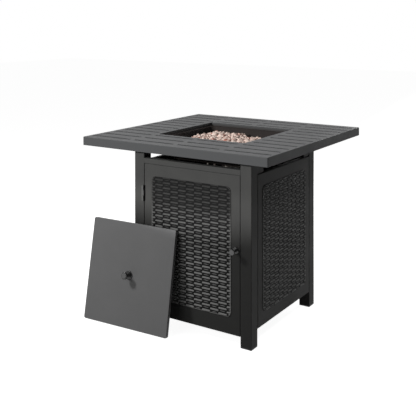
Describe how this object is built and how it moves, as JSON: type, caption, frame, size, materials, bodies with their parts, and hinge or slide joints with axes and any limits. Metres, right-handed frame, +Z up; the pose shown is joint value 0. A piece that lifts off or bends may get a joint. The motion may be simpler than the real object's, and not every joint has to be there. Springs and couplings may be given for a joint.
{
  "type": "gas fire pit table",
  "caption": "Square metal gas fire pit table: slatted top round a recessed bed of stones, woven panels, a door to the bottle bay, and a lid leaning on it.",
  "frame": {"origin": "on the floor under the middle of the tabletop", "axes": "+Z up; the cabinet door faces -Y; +X to the right of a person facing the door, along the slats"},
  "size_m": [0.7413, 0.711, 0.635],
  "materials": {
    "top_paint": "textured powder coat, mid grey",
    "frame_paint": "satin powder coat, near black bronze",
    "weave_paint": "satin powder coat on a stamped weave",
    "lid_paint": "textured powder coat, dark grey",
    "bowl_paint": "high-heat matt coat, black",
    "knob_metal": "satin black",
    "burner_steel": "brushed",
    "zinc": "zinc plated",
    "brass": "satin",
    "pipe_metal": "drawn",
    "lava": "porous, cream to rust red",
    "ceramic": "matt",
    "black_plastic": "matt",
    "bezel": "brushed"
  },
  "bodies": {
    "frame": {"tabletop": "top_paint", "top_channel_left": "frame_paint", "top_channel_right": "frame_paint", "pan_collar": "bowl_paint", "burner_pan": "bowl_paint", "burner_ring": "burner_steel", "burner_nut": "burner_steel", "igniter_electrode": "ceramic", "thermocouple": "burner_steel", "sensor_plate": "burner_steel", "lava_stones": "lava", "post_front_left": "frame_paint", "post_front_right": "frame_paint", "post_rear_left": "frame_paint", "post_rear_right": "frame_paint", "corner_brackets": "frame_paint", "frame_bolts": "zinc", "foot_glides": "black_plastic", "front_rail": "frame_paint", "panel_right": "frame_paint", "weave_right": "weave_paint", "panel_rear": "frame_paint", "weave_rear": "weave_paint", "panel_left": "frame_paint", "weave_left": "weave_paint", "panel_screws": "zinc", "tank_tray": "frame_paint", "hinge_post_leaf_upper": "frame_paint", "hinge_pin_upper": "zinc", "hinge_post_leaf_lower": "frame_paint", "hinge_pin_lower": "zinc", "magnet_catch": "black_plastic", "control_bracket": "frame_paint", "control_screws": "zinc", "gas_valve": "brass", "gas_inlet": "brass", "gas_pipe": "pipe_metal", "air_mixer": "burner_steel", "control_bezel": "bezel", "igniter_module": "black_plastic"},
    "door": {"door_sheet": "frame_paint", "door_weave": "weave_paint", "hinge_door_leaf_upper": "frame_paint", "hinge_door_leaf_lower": "frame_paint", "door_strike": "zinc", "door_knob": "knob_metal", "door_knob_screw": "zinc"},
    "lid": {"lid_plate": "lid_paint", "lid_knob_base": "knob_metal", "lid_knob": "knob_metal", "lid_knob_screw": "zinc"},
    "control_knob": {"control_knob": "black_plastic", "valve_stem": "zinc"},
    "igniter_button": {"igniter_button": "black_plastic"}
  },
  "joints": [
    {"name": "door_hinge", "type": "hinge", "parent": "frame", "child": "door", "pos_m": [-0.193, -0.2343, 0.29], "axis": [0, 0, -1], "range_deg": [0, 105]},
    {"name": "lid_slide", "type": "slide", "parent": "frame", "child": "lid", "axis": [0, -1, 0], "range_m": [0, 0.74]},
    {"name": "control_knob_turn", "type": "hinge", "parent": "frame", "child": "control_knob", "pos_m": [0.105, -0.192, 0.482], "axis": [0, -1, 0], "range_deg": [0, 200]},
    {"name": "igniter_press", "type": "slide", "parent": "frame", "child": "igniter_button", "axis": [0, 1, 0], "range_m": [0, 0.004], "stiffness_N_per_m": 200, "springref_m": -0.004}
  ],
  "couplings": [
    {"joint": "lid_slide", "follows": "door_hinge", "m_per_rad": 0.4}
  ]
}
